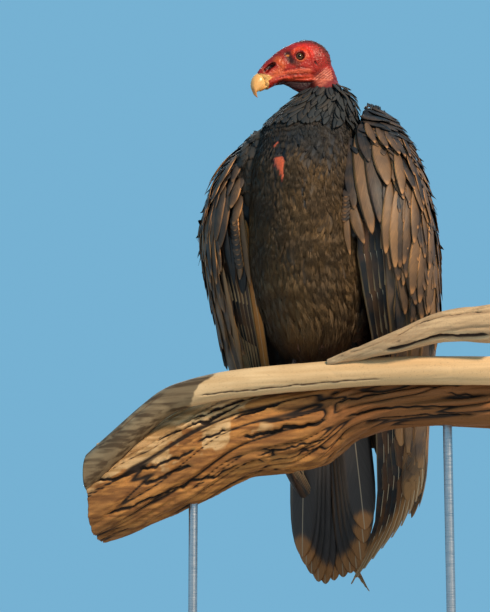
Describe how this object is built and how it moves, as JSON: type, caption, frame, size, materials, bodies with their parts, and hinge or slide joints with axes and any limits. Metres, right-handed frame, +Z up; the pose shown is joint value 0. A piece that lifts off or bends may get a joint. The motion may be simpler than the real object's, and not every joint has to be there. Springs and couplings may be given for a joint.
{
  "type": "turkey vulture on a perch",
  "caption": "Life-size still model of a turkey vulture perched upright on a weathered log, head turned to its right, on a plain display stand",
  "frame": {"origin": "middle of the underside of the stand's base, on the floor", "axes": "+Z up, the bird faces -Y and its left side is +X, the perch runs along X"},
  "size_m": [0.46, 0.34, 0.7222],
  "materials": {
    "body_feathers": "soft blackish contour feathers with a faint bluish sheen and brown edges",
    "flight_feathers": "blackish-brown wing and tail feathers, paler brown edges and shafts",
    "face_skin": "bare wrinkled red skin, slightly moist",
    "leg_skin": "dull pinkish scaly skin",
    "bill": "ivory horn, satin",
    "claw": "blackish horn, satin",
    "eye": "dark brown, wet gloss",
    "bark_wood": "weathered orange-brown wood, deeply grooved",
    "bare_wood": "smooth pale barkless limb with fine cracks",
    "stand_wood": "dark stained board, satin",
    "stand_steel": "plain steel rod, satin"
  },
  "bodies": {
    "root": {"bill_lower": "bill", "bill_upper": "bill", "claw_left_hind": "claw", "claw_left_inner": "claw", "claw_left_middle": "claw", "claw_left_outer": "claw", "claw_right_hind": "claw", "claw_right_inner": "claw", "claw_right_middle": "claw", "claw_right_outer": "claw", "eye_left": "eye", "eye_right": "eye", "foot_left": "leg_skin", "foot_right": "leg_skin", "head": "face_skin", "neck": "body_feathers", "neck_bare": "face_skin", "perch_limb_front": "bare_wood", "perch_limb_right": "bare_wood", "perch_log": "bark_wood", "stand_base": "stand_wood", "stand_rod_left": "stand_steel", "stand_rod_right": "stand_steel", "tail": "flight_feathers", "thigh_left": "body_feathers", "thigh_right": "body_feathers", "trunk": "body_feathers", "wing_left_arm": "body_feathers", "wing_left_primaries": "flight_feathers", "wing_left_secondaries": "flight_feathers", "wing_right_arm": "body_feathers", "wing_right_primaries": "flight_feathers", "wing_right_secondaries": "flight_feathers"}
  },
  "joints": []
}
